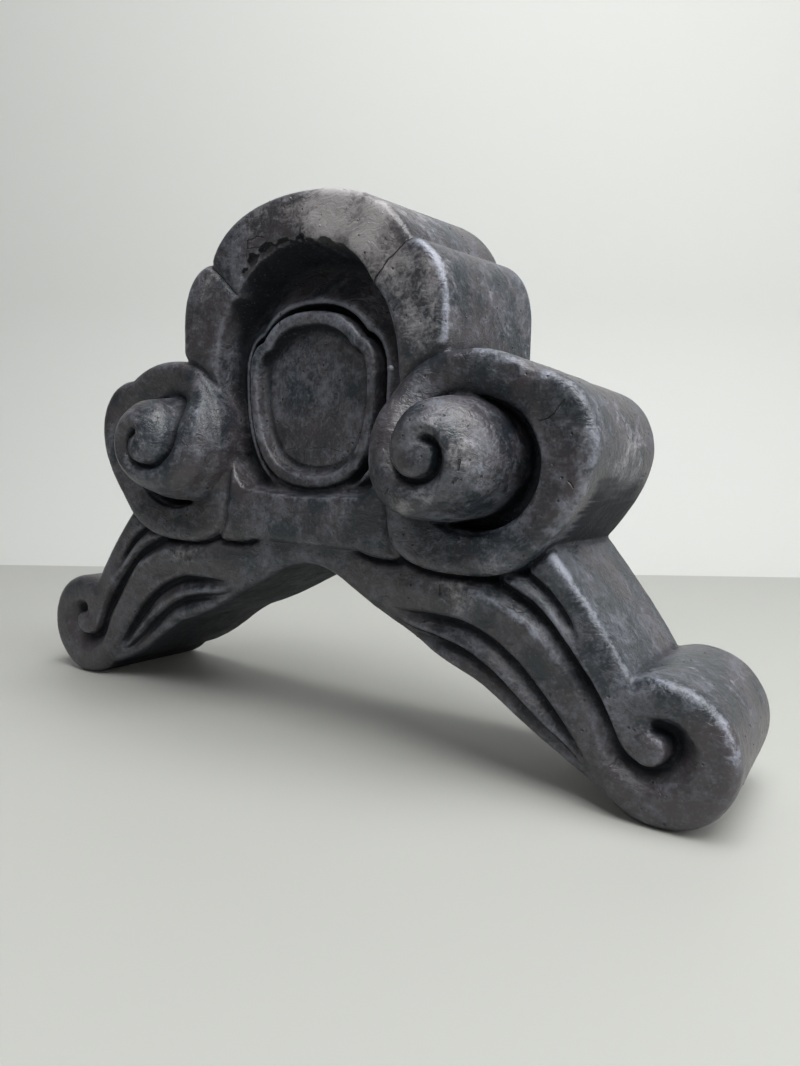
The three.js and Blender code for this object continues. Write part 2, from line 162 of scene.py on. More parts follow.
def tileOutlines():
    crest = bothHalves(bezierOutline((0, 275), [
        ((64.7, 245.5), (0.46, 0), (0.13, 0.7)),
        ((85.8, 214), (0.45, 0), (0, 0.67)),
        ((85.8, 100), (0, 0), (0, 0)),
    ]))
    niche = bothHalves(bezierOutline((0, 251), [
        ((44.7, 227.8), (0.54, 0), (0.18, 0.65)),
        ((60, 185), (0.52, 0.14), (0, 0.5)),
        ((40, 127), (0, 0.43), (0.8, 0.22)),
        ((0, 125), (0.3, 0.83), (0.3, 0)),
    ]))
    ring = bothHalves(bezierOutline((0, 218), [
        ((32.2, 203.8), (0.53, 0), (0.19, 0.63)),
        ((42.3, 186), (0.6, 0.05), (0, 0.6)),
        ((0, 128.5), (0, 0.72), (0.68, 0)),
    ]))
    cloud = bothHalves(bezierOutline((0, 114.5), [
        ((25.4, 106.3), (0.32, 0.12), (0.28, 0.43)),
        ((59, 98), (0.27, 0.84), (0.45, -0.24)),
        ((68, 103), (0, 0), (0, 0)),
        ((68, 150), (0, 0), (0, 0)),
    ]))
    scroll = bezierOutline((80, 193), [
        ((129.5, 185.5), (0.4, -0.8), (0.22, 1.07)),
        ((158, 155), (0.6, 0), (0, 0.56)),
        ((134.8, 110), (0, 0.33), (0.52, 0.31)),
        ((96, 94.5), (0.23, 0.71), (0.41, 0)),
        ((54, 116.5), (0.38, 0), (0, 1)),
        ((80, 193), (-0.27, 0.61), (0.85, 0.08)),
    ])[:-1]
    leg = bothHalves(bezierOutline((0, 89.3), [
        ((38, 74.5), (0.37, 0), (0.37, 0.51)),
        ((98, 46.3), (0.37, 0.43), (0.3, 0.21)),
        ((163.5, 9.5), (0.3, 0.22), (0.46, 0.26)),
        ((181, 4), (0, 0), (0, 0)),
        ((188.2, 31), (0, 0), (0, 0)),
        ((174, 62), (0, 0), (0, 0)),
        ((120, 128), (0.22, 0.27), (0.48, 0.39)),
    ]))
    return {name: outlineDistance(points) for name, points in
            dict(crest=crest, niche=niche, ring=ring, cloud=cloud, scroll=scroll, leg=leg).items()}


conchShape = {
    # degrees clockwise from the top, and the groove's distance from the eye there
    "reach": [(0, 9.4), (30, 9.4), (60, 8.5), (90, 7.4), (120, 6.9), (150, 6.9), (180, 7.5), (202, 8.8),
              (225, 11.4), (248, 14.7), (270, 18.2), (292, 21.0), (314, 24.0), (337, 26.9), (352, 28.0),
              (372, 29.4), (405, 30.2), (450, 30.4), (495, 29.2), (530, 28.0), (555, 29.5), (580, 33.0),
              (610, 37.6), (660, 41.5), (720, 45.0)],
    "smoothing": 15,         # degrees to each side over which the distance is evened
    "ridgeFall": 28.0,       # how far the ridge sinks from the eye to the mouth
    "ridgeHold": 8,          # higher keeps it up longer
    "bite": 6.5,             # groove beside the eye
    # degrees again, and how far the groove has sunk by then
    "fall": [(195, 0), (250, 2.2), (300, 7.5), (330, 11), (360, 16), (405, 27), (450, 37), (500, 41)],
    "ramp": 6.4,             # width of the slope outside the groove
    "crevice": 3.4,          # the thin dark line at the groove's foot
}


def smoothReach():
    # the groove's distance from the eye, by degree clockwise from the top
    angles, reaches = zip(*conchShape["reach"])
    fine = np.interp(np.arange(0, 721), angles, reaches)
    reach = conchShape["smoothing"]
    padded = np.concatenate([np.full(reach, fine[0]), fine, np.full(reach, fine[-1])])
    window = np.hanning(2 * reach + 3)
    return np.convolve(padded, window[1:-1] / window.sum(), mode="valid")


reachTable = smoothReach()


def conchReach(angle):
    return np.where(angle < 0, reachTable[0] * np.clip(angle + 180, 0, 180) / 180,
                    np.interp(angle, np.arange(721), reachTable))


def conchGroove(angle):
    tip, rim = tileShape["tipY"], tileShape["rimY"]
    coiled = tip + 1.0 * ease(-180, 0, angle) + conchShape["bite"] * ease(-30, 30, angle)
    coiled = coiled + np.interp(angle, *zip(*conchShape["fall"]))
    coiled = np.minimum(coiled, tileShape["moatY"] - 1)
    mouth = rim - 9 + 9 * ease(600, 720, angle)
    return coiled + (mouth - coiled) * ease(525, 590, angle)


def conchLevel(rim):
    # front of the conch over its spiral, and where each point lies round its eye
    dx, dz = acrossX - tileShape["conch"][0], upZ - tileShape["conch"][1]
    radius = np.hypot(dx, dz)
    turn = np.degrees(np.arctan2(dx, dz)) % 360
    level = np.full(acrossX.shape, 30.0)
    for begin in (360, 0, -360):
        angle = turn + begin
        hasInner = angle >= 180
        inner = np.where(hasInner, conchReach(angle - 360), 0)
        outer = conchReach(angle)
        share = np.clip((radius - inner) / np.maximum(outer - inner, 0.01), 0, 1)
        ridge = tileShape["tipY"] + 1.0 * ease(-180, 0, angle) - 1.6 * ease(200, 420, angle)
        ridge = ridge + conchShape["ridgeFall"] * (np.maximum(angle, 0) / 720) ** conchShape["ridgeHold"]
        width = np.minimum(conchShape["ramp"], 0.5 * (outer - inner) + 0.01)
        ramp = np.clip(1 - (radius - inner) / width, 0, 1)
        ramp = np.where(hasInner, ramp, 0)
        dome = 1 - np.sqrt(np.clip(1 - share ** 2.3, 0, 1))
        shown = ridge + (conchGroove(angle - 360) - ridge) * ramp + (conchGroove(angle) - ridge) * dome
        shown = shown + (rim - 0.5 - shown) * ease(655, 718, angle)
        line = np.where(hasInner, np.clip(1 - (radius - inner) / 2.4, 0, 1) * ease(-20, 10, angle - 360), 0)
        outerLine = np.clip(1 - (outer - radius) / 1.4, 0, 1) * ease(-20, 10, angle) * (angle < 400)
        line = np.maximum(line, outerLine)
        shown = shown + conchShape["crevice"] * (1 + ease(600, 690, angle)) * line
        here = (radius >= inner) & (radius < outer + (4 if begin == 360 else 0)) & (angle >= -180)
        level = np.where(here, shown, level)
    return level, radius, turn


# course of the groove round the foot's eye, which the leg's channel runs into
footCoil = [(167, 40), (170.5, 32.5), (175.5, 27), (183.5, 24.3), (190, 26.8), (193.4, 32.5),
            (192.2, 38.4), (187.6, 41.4), (184, 40)]


def legLevel(cloudEdge):
    # carved front of a leg: folds, flutes, the valley that runs into the foot's volute
    level = np.full(acrossX.shape, tileShape["legY"])
    ridge, along, side = pathDistance([(30, 93), (62, 86.5), (84, 84.5), (106, 86.5), (123, 81),
                                       (139.5, 72.5), (152.7, 62.6), (161, 51), (167.5, 37), (173, 26),
                                       (181, 19.5)])
    fold = np.where(side > 0, np.clip(1 - ridge / 15, 0, 1), np.clip(1 - ridge / 11, 0, 1))
    level -= 3.2 * fold * ease(0, 0.25, along) * (1 - ease(0.86, 1, along))
    # the deep channel: valley beside the main fold, then the volute round the foot's eye
    gap, along, side = pathDistance([(98, 99), (110, 93.5), (131, 83), (145, 69.5), (154.5, 58.5),
                                     (162, 48.5)] + footCoil)
    depth = np.interp(along, [0, 0.35, 0.55, 0.64, 0.8, 0.9, 0.97, 1], [8, 9, 10, 8.5, 8, 10, 8, 1.5])
    steep = np.interp(along, [0, 0.5, 0.62, 1], [4.5, 3.6, 2.6, 2.4])
    gentle = np.interp(along, [0, 0.4, 0.62, 0.9, 1], [8, 6.5, 8, 11, 5])
    level += depth * np.clip(1 - gap / np.where(side > 0, steep, gentle), 0, 1) ** 1.15
    # the score outside the second fold, and the two flutes
    gap, along, side = pathDistance([(116, 105), (124, 100), (137, 91), (147.5, 79), (153, 69.5)])
    level += 6.0 * (1 - ease(0.72, 1.0, along)) * np.clip(1 - gap / np.where(side > 0, 2.4, 5.0), 0, 1) ** 1.2
    flutes = ([(52, 74.6), (62, 73), (76, 72.6), (94, 71.2), (109, 65.8), (122, 57.5), (133, 47),
               (144.4, 34.3), (155, 21.5), (164, 14)],
              [(50, 72.5), (63, 66), (79, 62.6), (94.5, 58.6), (109.4, 51), (122.5, 41.2), (136.6, 30),
               (150, 20), (161, 13.2)])
    for knots in flutes:
        gap, along, side = pathDistance(knots)
        depth = 7.4 * ease(-0.08, 0.26, along) * (1 - ease(0.8, 1.02, along))
        level += depth * np.clip(1 - gap / np.where(side > 0, 3.2, 8.0), 0, 1) ** 1.35
    # shadow line under the cloud and the scrolls
    level += 5.0 * np.clip(1 - np.maximum(cloudEdge, 0) / 3.6, 0, 1)
    return level


def footLevel():
    level = np.full(acrossX.shape, tileShape["footY"])
    gap, along, side = pathDistance([(166, 52), (163.5, 46.5)] + footCoil)
    depth = np.interp(along, [0, 0.2, 0.42, 0.72, 0.86, 0.96, 1], [8, 9, 9, 8.5, 11, 9, 1.5])
    gentle = np.interp(along, [0, 0.3, 0.8, 1], [6, 8, 11.5, 5])
    level += depth * np.clip(1 - gap / np.where(side > 0, 2.5, gentle), 0, 1) ** 1.15
    eye = np.hypot(acrossX - 185.2, upZ - 33.2)
    level -= 2.2 * np.clip(1 - (eye / 8.5) ** 2, 0, 1)
    return level


def sculptHalf():
    shape = tileShape
    edges = tileOutlines()
    ringMiddle, nicheMiddle = shape["ringMiddleZ"], shape["nicheMiddleZ"]
    # the moat's oval, as shares of its half widths and then in about millimetres
    base = np.hypot((acrossX - shape["moat"][0]) / shape["moatHalf"][0],
                    (upZ - shape["moat"][1]) / shape["moatHalf"][1])
    middlingHalf = 33.5
    base = (base - 1) * middlingHalf
    foot = np.hypot(acrossX - shape["foot"][0], upZ - shape["foot"][1]) - shape["footRadius"]
    lowerEdge, _, _ = pathDistance([(0, 89.3), (38, 74.5), (70, 55), (98, 46.3), (130, 25), (163.5, 9.5)])
    # a shallow fold across the crest's face, where its lobes meet
    fold, _, foldSide = pathDistance([(64.7, 245.5), (44.7, 227.8)])
    crest = (shape["crestY"] + 1.7 * np.clip(1 - fold / 1.6, 0, 1)
             + 1.0 * np.where(foldSide < 0, np.exp(-fold / 9), 0))
    crest = crest + 0.5 * np.exp(-(edges["niche"] / 4.0) ** 2)
    # faces sink where the scroll stands against them
    beside = np.clip(1 - np.maximum(edges["scroll"], 0) / 4.5, 0, 1)
    crest, cloud = crest + 3.4 * beside, shape["cloudY"] + 3.8 * beside
    # cove from the niche's wall up to the ring, the groove at its lip, and the panel's floor
    rising = np.clip((edges["ring"] - 3.5) / 21.4, 0, 1)
    cove, coveShare = frontField(shape["bandY"] + 16.5 * (1 - (1 - rising) ** 1.5))
    grooveFloor = shape["ringGrooveY"] - 13 * (1 - ease(128, 142, upZ))
    panelEdge = scaledField(edges["ring"], 0.83, ringMiddle)
    panelFloor = shape["panelY"] + 1.2 * np.clip(1 - np.abs(panelEdge + 2.2) / 1.6, 0, 1)
    # the rim dips towards the moat
    rim = shape["rimY"] + 2.8 * ease(5, 22, -edges["scroll"])
    conch, radius, turn = conchLevel(rim)
    conch, conchShare = frontField(conch)
    rim, rimShare = frontField(rim)
    leg, legShare = frontField(legLevel(np.minimum(edges["cloud"], edges["scroll"])))
    footFront, footShare = frontField(footLevel())
    outermost = conchReach(turn + 360)
    flare = 0.2 * ease(170, 250, turn)
    # the moat starts as the groove's last shallow turn and deepens along it
    moatFloor = shape["rimY"] + 2 + (shape["moatY"] - shape["rimY"] - 2) * ease(-25, 75, turn)
    moatFloor = np.where(turn > 290, shape["rimY"] + 2, moatFloor)
    ledgeFloor = np.where(turn > 290, shape["rimY"] - 0.5, shape["rimY"] - 0.5 + 6.9 * ease(-5, 55, turn))
    legRound = 4 + 3.5 * (1 - ease(9, 15, lowerEdge))
    half = np.empty((len(gridX), len(gridY), len(gridZ)), np.float32)
    for j, y in enumerate(gridY):
        drawIn = 1 - (1 - shape["taper"]) * min(max((y + 22) / (shape["backY"] + 22), 0), 1.1)
        body = roundedBoth(edges["crest"], crest - y, 4.6)
        body = np.minimum(body, roundedBoth(edges["cloud"], cloud - y, 4.2))
        # niche
        inside = min(max((y - shape["crestY"]) / (shape["nicheY"] - shape["crestY"]), -0.5), 1)
        share = 1 - 0.1 * inside
        niche = roundedBoth(scaledField(edges["niche"], share, nicheMiddle), (y - cove) * coveShare, 4)
        body = roundedBoth(body, -niche, 0.9)
        groove = roundedBoth(np.abs(edges["ring"] - 0.9) - 2.6, y - grooveFloor, 1.0)
        body = roundedBoth(body, -groove, 0.8)
        ring = roundedBoth(edges["ring"], np.full_like(body, shape["ringY"] - y), 2.4)
        opening = 0.86 - 0.03 * min(max((y - shape["ringY"]) / (shape["panelY"] - shape["ringY"]), -1), 1)
        panel = scaledField(edges["ring"], opening, ringMiddle)
        panel = roundedBoth(panel, y - panelFloor, 1.2)
        body = np.minimum(body, ring)
        body = roundedBoth(body, -panel, 0.9)
        # legs and feet
        legSide = scaledField(edges["leg"], drawIn)
        legs = roundedBoth(legSide, (leg - y) * legShare, legRound)
        feet = roundedBoth(scaledField(foot, drawIn), (footFront - y) * footShare, 7)
        legs = np.minimum(legs, feet)
        body = np.minimum(body, legs)
        # scroll block with its moat and ledge
        block = roundedBoth(scaledField(edges["scroll"], drawIn), (rim - y) * rimShare, 4.6)
        moat = roundedBoth(base + 1.7, y - moatFloor, 2)
        ledge = roundedBoth(base, y - ledgeFloor, 0.8)
        body = np.minimum(body, block)
        body = roundedBoth(body, -np.minimum(moat, ledge), 0.9)
        wall = radius - outermost - flare * (y + 42)
        shell = roundedBoth(wall, (conch - y) * conchShare, 3)
        body = np.minimum(body, np.maximum(shell, y - 3))
        body = roundedBoth(body, np.full_like(body, y - shape["backY"]), 4)
        half[:, j, :] = np.maximum(body, 0.05 - upZ)
    return half


def blurred(field):
    for axis in range(3):
        padded = np.pad(field, [(1, 1) if a == axis else (0, 0) for a in range(3)], mode="edge")
        span = field.shape[axis]
        before, middle, after = (np.take(padded, range(s, s + span), axis=axis) for s in (0, 1, 2))
        field = before * 0.25 + middle * 0.5 + after * 0.25
    return field


def cutSeam(field, points, halfWidth, fill=False, power=2):
    # cuts a crack along points in space, or lays a bead along them; a higher power cuts squarer
    corner, margin = (-gridX[-1], gridY[0], gridZ[0]), 6
    for a, b in zip(np.array(points[:-1], float), np.array(points[1:], float)):
        low, high = np.minimum(a, b) - margin, np.maximum(a, b) + margin
        starts = [max(0, int((low[n] - o) / voxel)) for n, o in enumerate(corner)]
        stops = [int((high[n] - o) / voxel) + 2 for n, o in enumerate(corner)]
        window = tuple(slice(s, e) for s, e in zip(starts, stops))
        places = [o + voxel * np.arange(s, min(e, n)) for o, s, e, n in
                  zip(corner, starts, stops, field.shape)]
        px, py, pz = np.meshgrid(*places, indexing="ij")
        d = b - a
        share = np.clip(((px - a[0]) * d[0] + (py - a[1]) * d[1] + (pz - a[2]) * d[2]) / (d @ d + 1e-9), 0, 1)
        gap = (np.abs(px - a[0] - share * d[0]) ** power + np.abs(py - a[1] - share * d[1]) ** power
               + np.abs(pz - a[2] - share * d[2]) ** power) ** (1 / power)
        if fill:
            field[window] = np.minimum(field[window], gap - halfWidth)
        else:
            field[window] = np.maximum(field[window], halfWidth - gap)


# flakes off the niche's edge and the scroll's rim: from, to, half size in millimetres
brokenEdges = [
    ((-39, -26.4, 237.4), (-37, -26.4, 239), 1.7), ((-34.5, -26, 242), (-32.5, -26, 245.2), 2.2),
    ((-30, -26.4, 244.6), (-28, -26.4, 245.2), 1.6), ((-25.5, -26, 246.6), (-20.5, -26.2, 249.2), 2.6),
    ((-17.5, -26.4, 248.4), (-15.8, -26.4, 248.8), 1.6), ((-13, -26, 250), (-9.5, -26.2, 250.8), 2.1),
    ((-7, -26.4, 250.2), (-5.4, -26.4, 250.3), 1.2), ((-1.4, -26.4, 250.6), (1.2, -26.4, 251.6), 1.7),
    ((4.5, -26.6, 250.6), (6, -26.6, 250.5), 1.1), ((14, -26.4, 249.4), (18, -26.4, 248.2), 1.4),
    ((26, -26.6, 245.4), (27.5, -26.6, 244.6), 1.2),
    ((114, -30.2, 183.6), (119.5, -30, 184.2), 3.4), ((127.5, -29.6, 184.6), (130.5, -29.4, 184.2), 2.6),
]


def ageTile(field):
    # cracks, chips and the pellet that the fired tile carries, by place
    crackedLines = [
        ([(0.4, -30, 255.5), (0.2, -27, 252), (0.9, -22, 248.5), (0.4, -14, 245.5)], 1.35),
        ([(34.2, -20.8, 205.6), (30.4, -20.6, 201.6), (26.4, -19.8, 197.6)], 0.95),
        ([(-32.4, -20.8, 204.2), (-27.9, -20, 198.6)], 0.8),
    ]
    for points, halfWidth in crackedLines:
        cutSeam(field, points, halfWidth)
    for first, last, size in brokenEdges:
        cutSeam(field, [first, last], size, power=5)
    chips = [(84.5, -27.4, 86.8, 3.0), (-84.5, -27.4, 86, 3.0), (29.6, -22.6, 206.6, 2.4),
             (25.4, -22.4, 204.4, 2.0), (-60, -30, 232, 3.0), (-43.8, -29.6, 231, 2.8),
             (44.6, -29.8, 229.2, 2.6)]
    for x, y, z, size in chips:
        cutSeam(field, [(x, y, z), (x + 0.5, y, z)], size)
    pellet = [(57, -27.9, 187.3), (57.1, -27.9, 187.3)]
    cutSeam(field, pellet, 1.8, fill=True)


def sampleField(field, places, origin, step):
    spots = (places - origin) / step
    spots = np.clip(spots, 0, np.array(field.shape) - 1.001)
    low = spots.astype(int)
    part = spots - low
    total = np.zeros(len(places))
    for corner in range(8):
        pick = [(corner >> n) & 1 for n in range(3)]
        weight = np.prod([part[:, n] if pick[n] else 1 - part[:, n] for n in range(3)], axis=0)
        total += weight * field[low[:, 0] + pick[0], low[:, 1] + pick[1], low[:, 2] + pick[2]]
    return total


def makeTileMesh():
    half = blurred(sculptHalf())
    print("half sculpted", half.shape)
    full = np.concatenate([half[:0:-1], half], axis=0)
    ageTile(full)
    band = 3 * voxel
    full = np.clip(full, -band, band).astype(np.float32)
    grid = openvdb.FloatGrid(band)
    grid.copyFromArray(full)
    points, triangles, quads = grid.convertToPolygons(isovalue=0, adaptivity=0)
    origin = np.array([-gridX[-1], gridY[0], gridZ[0]])
    places = points * voxel + origin
    mesh = bpy.data.meshes.new("roofEndTile")
    mesh.vertices.add(len(places))
    mesh.vertices.foreach_set("co", (places / 1000).astype(np.float32).ravel())
    corners = np.concatenate([quads.ravel(), triangles.ravel()]).astype(np.int32)
    sizes = np.concatenate([np.full(len(quads), 4), np.full(len(triangles), 3)]).astype(np.int32)
    mesh.loops.add(len(corners))
    mesh.loops.foreach_set("vertex_index", corners)
    mesh.polygons.add(len(sizes))
    starts = np.concatenate([[0], np.cumsum(sizes)[:-1]]).astype(np.int32)
    mesh.polygons.foreach_set("loop_start", starts)
    mesh.polygons.foreach_set("loop_total", sizes)
    mesh.update(calc_edges=True)
    mesh.validate()
    print("skin of", len(sizes), "faces")
    return mesh, full, origin


tileMesh, tileField, tileOrigin = makeTileMesh()
tile = bpy.data.objects.new("roofEndTile", tileMesh)
bpy.context.scene.collection.objects.link(tile)


def bakeModifiers(target, label):
    bpy.context.view_layer.update()
    evaluated = target.evaluated_get(bpy.context.evaluated_depsgraph_get())
    finished = bpy.data.meshes.new_from_object(evaluated)
    old = target.data
    target.modifiers.clear()
    target.data = finished
    bpy.data.meshes.remove(old)
    print(label, len(finished.polygons), "faces")


thin = tile.modifiers.new("thin", "DECIMATE")
thin.ratio = min(1.0, tileShape["triangles"] / (2.0 * len(tileMesh.polygons)))
bakeModifiers(tile, "thinned to")


def readPlaces(mesh):
    places = np.zeros(len(mesh.vertices) * 3, np.float32)
    mesh.vertices.foreach_get("co", places)
    return places.reshape(-1, 3).astype(float) * 1000


# Facing inwards would give a negative volume
coordinates = readPlaces(tile.data)
tile.data.calc_loop_triangles()
loops = np.zeros(len(tile.data.loop_triangles) * 3, np.int32)
tile.data.loop_triangles.foreach_get("vertices", loops)
a, b, c = (coordinates[loops.reshape(-1, 3)[:, n]] for n in range(3))
volume = np.einsum("ij,ij->i", a, np.cross(b, c)).sum() / 6e9
print("volume", round(volume, 5), "cubic metres")
if volume < 0:
    tile.data.flip_normals()


def keepAttribute(mesh, name, values):
    attribute = mesh.attributes.get(name) or mesh.attributes.new(name, "FLOAT", "POINT")
    attribute.data.foreach_set("value", values.astype(np.float32))


def halved(field):
    x, y, z = (span // 2 for span in field.shape)
    return field[:2 * x, :2 * y, :2 * z].reshape(x, 2, y, 2, z, 2).mean((1, 3, 5))


def boxBlurred(field, reach):
    for axis in range(3):
        field = np.moveaxis(field, axis, 0)
        padded = np.concatenate([np.repeat(field[:1], reach + 1, 0), field,
                                 np.repeat(field[-1:], reach, 0)])
        running = np.cumsum(padded, axis=0)
        field = (running[2 * reach + 1:] - running[:-2 * reach - 1]) / (2 * reach + 1)
        field = np.moveaxis(field, 0, axis)
    return field


def markWearAndShade(mesh):
    # how far each point stands out of its surroundings close by, for rubbed edges and painted highlights, and
    # how deep it sits further round, with downward faces added, for painted shade
    filled = halved(np.clip(0.5 - tileField / (2 * voxel), 0, 1))
    step, origin = 2 * voxel, tileOrigin + voxel / 2
    near = boxBlurred(boxBlurred(filled, 1), 1)
    far = boxBlurred(boxBlurred(filled, 2), 2)
    places = readPlaces(mesh)
    keepAttribute(mesh, "standsOut", 0.5 - sampleField(near, places, origin, step))
    normals = np.zeros(len(places) * 3, np.float32)
    mesh.vertex_normals.foreach_get("vector", normals)
    normals = normals.reshape(-1, 3)
    # downward faces at the front and the niche's ceiling over the ring are darkened as painted shade
    below = ease(0.1, 0.65, -normals[:, 2]) * ease(-24, -14, places[:, 1])
    overRing = (np.abs(places[:, 0]) < 60) & (places[:, 2] > 195)
    nicheCeilingShade = overRing * ease(0.2, 0.7, -normals[:, 2]) * (places[:, 1] < 3)
    underShade = 0.3 * np.maximum(below, nicheCeilingShade)
    keepAttribute(mesh, "sitsInShade", sampleField(far, places, origin, step) - 0.5 + underShade)


claySkin = {
    "slate": (0.015, 0.021, 0.028),      # blue-grey of the smoked body
    "plum": (0.048, 0.041, 0.046),       # browner clouds in it
    "haze": (0.135, 0.145, 0.174),       # dry paler bloom
    "scuffAndHighlight": (0.270, 0.290, 0.350),      # rubbed edges, partly a painted highlight
    "sandAndSheen": (0.400, 0.380, 0.385),       # warm worn ground on the crest, partly a painted sheen
    "shadeAndSoot": (0.005, 0.007, 0.010),       # painted shade in the hollows and under downward faces; also the dark of pits, specks, scratches and hairlines
    "roughness": (0.32, 0.55),
    "gloss": 0.66,                       # specular level outside the hollows
    "bump": 0.8,
    "bumpHeight": 0.0011,                # metres
    "pitScale": 170,
    "hairlineWobble": 0.0022,            # metres
}

# hairlines in the fired face, in millimetres: their course in X and Z
hairlines = [
    [(-36.2, 246.2), (-35.2, 253.8), (-29, 255.4), (-23, 254.8)],
    [(-36, 250.4), (-27, 250.2), (-22, 252.2)], [(0.6, 256.4), (0.2, 252)],
    [(64.6, 245.0), (54, 237), (44.9, 228.2)], [(-64.6, 245.0), (-54, 237), (-44.9, 228.2)],
    [(143.8, 172.8), (139, 167.2), (135.2, 165), (131.4, 164.4)], [(110.9, 147.6), (110.2, 143.8)],
    [(109.6, 140), (107.6, 138.4)], [(147.2, 139.8), (149.4, 137.4)], [(84.2, 89), (84.6, 84)],
    [(73.6, 134), (71, 131.6)], [(-20, 148), (6, 149.6), (17, 147.8)],
]


def buildClay():
    material = bpy.data.materials.new("smokedClay")
    material.use_nodes = True
    tree = material.node_tree
    shader = tree.nodes["Principled BSDF"]
    objectPlace = tree.nodes.new("ShaderNodeTexCoord").outputs["Object"]

    def node(kind, **settings):
        made = tree.nodes.new(kind)
        for name, value in settings.items():
            setattr(made, name, value)
        return made

    def wire(value, socket):
        if isinstance(value, bpy.types.NodeSocket):
            tree.links.new(value, socket)
        else:
            socket.default_value = value

    def noise(size, detail, roughness, distortion=0.0, stretch=None, turn=(0, 0, 0), output=0,
              place=objectPlace):
        if stretch:
            mapping = node("ShaderNodeMapping")
            mapping.inputs["Scale"].default_value = stretch
            mapping.inputs["Rotation"].default_value = turn
            tree.links.new(place, mapping.inputs["Vector"])
            place = mapping.outputs["Vector"]
        made = node("ShaderNodeTexNoise")
        tree.links.new(place, made.inputs["Vector"])
        made.inputs["Scale"].default_value = 1 / size
        made.inputs["Detail"].default_value = detail
        made.inputs["Roughness"].default_value = roughness
        made.inputs["Distortion"].default_value = distortion
        return made.outputs[output]

    def sums(operation, first, second=0.0):
        made = node("ShaderNodeMath", operation=operation)
        wire(first, made.inputs[0])
        wire(second, made.inputs[1])
        return made.outputs[0]

    def about(value, share):
        # noise as a swing to both sides of nothing
        return sums("MULTIPLY", sums("SUBTRACT", value, 0.5), share)

    def vectors(operation, first, second=None, output=0):
        made = node("ShaderNodeVectorMath", operation=operation)
        wire(first, made.inputs[0])
        if operation == "SCALE":
            wire(second, made.inputs["Scale"])
        elif second is not None:
            wire(second, made.inputs[1])
        return made.outputs[output]

    def spread(value, low, high, lowest=0.0, highest=1.0):
        made = node("ShaderNodeMapRange", interpolation_type="SMOOTHSTEP")
        wire(value, made.inputs["Value"])
        ends = zip(("From Min", "From Max", "To Min", "To Max"), (low, high, lowest, highest))
        for name, number in ends:
            made.inputs[name].default_value = number
        return made.outputs["Result"]

    def blend(share, below, above):
        made = node("ShaderNodeMix", data_type="RGBA")
        wire(share, made.inputs[0])
        for value, socket in ((below, made.inputs[6]), (above, made.inputs[7])):
            wire(value if isinstance(value, bpy.types.NodeSocket) else (*value, 1), socket)
        return made.outputs[2]

    def kept(name):
        return node("ShaderNodeAttribute", attribute_name=name).outputs["Fac"]

    def lineDistance(courses, wobble):
        # how far a point is from the nearest of the courses, seen along Y
        flat = vectors("MULTIPLY", objectPlace, (1, 0, 1))
        swing = vectors("SUBTRACT", noise(0.004, 2, 0.6, output=1), (0.5, 0.5, 0.5))
        flat = vectors("ADD", flat, vectors("SCALE", swing, wobble))
        flat = vectors("MULTIPLY", flat, (1, 0, 1))
        nearest = 1.0
        for course in courses:
            for (ax, az), (bx, bz) in zip(course[:-1], course[1:]):
                step = np.array([bx - ax, 0, bz - az]) / 1000
                away = vectors("SUBTRACT", flat, (ax / 1000, 0, az / 1000))
                along = vectors("DOT_PRODUCT", away, tuple(step), 1)
                along = sums("MULTIPLY", along, 1 / float(step @ step))
                along = sums("MINIMUM", sums("MAXIMUM", along, 0.0), 1.0)
                reached = vectors("SCALE", tuple(step), along)
                gap = vectors("LENGTH", vectors("SUBTRACT", away, reached), None, 1)
                nearest = sums("MINIMUM", gap, nearest)
        return nearest

    # places bent by slow noise, so that no pattern runs along the axes
    bending = vectors("SUBTRACT", noise(0.021, 3, 0.6, output=1), (0.5, 0.5, 0.5))
    bent = vectors("ADD", objectPlace, vectors("SCALE", bending, 0.022))
    clouds = noise(0.07, 5, 0.6, 0.6, None, place=bent)
    patches = noise(0.019, 6, 0.6, 0.3, (1, 1, 1), (0.5, 0.7, 0.3), place=bent)
    crumbs = noise(0.0046, 5, 0.62, 0, (1, 1, 1), (0.9, 0.3, 0.6))
    dust = noise(0.0015, 4, 0.65)
    upright = noise(0.009, 4, 0.6, 0, (6, 6, 0.8), (0.05, 0.12, 0), place=bent)
    levelled = noise(0.009, 4, 0.6, 0, (0.8, 1, 6), (0.1, 0.55, 0.1), place=bent)
    scratched = noise(0.0035, 2, 0.5, 0, (0.5, 0.5, 9), (0.3, 0.75, 0.2), place=bent)
    scored = noise(0.0035, 2, 0.5, 0, (9, 9, 0.5), (0.2, 0.5, 0.4), place=bent)
    standsOut, sitsInShade, bloomAndSheen = kept("standsOut"), kept("sitsInShade"), kept("bloomAndSheen")
    panelFace, rubbedAndHighlitHere = kept("panelFace"), kept("rubbedAndHighlitHere")

    strokes = sums("ADD", sums("MULTIPLY", upright, panelFace),
                   sums("MULTIPLY", levelled, sums("SUBTRACT", 1.0, panelFace)))
    clouded = spread(sums("ADD", clouds, about(patches, 0.6)), 0.4, 0.6)
    colour = blend(clouded, claySkin["slate"], claySkin["plum"])
    hazy = sums("ADD", sums("ADD", patches, about(clouds, -0.5)), about(strokes, 0.35))
    hazy = sums("ADD", sums("ADD", hazy, about(crumbs, 0.8)), about(dust, 0.5))
    colour = blend(spread(hazy, 0.36, 0.86, 0.0, 0.85), colour, claySkin["haze"])
    # warm pale ground where the bloom was marked, partly a painted sheen on lit faces, broken up by the same
    # noise
    sandAndSheenShare = sums("ADD", bloomAndSheen, about(hazy, 0.9))
    colour = blend(spread(sandAndSheenShare, 0.3, 0.95, 0.0, 0.95), colour, claySkin["sandAndSheen"])
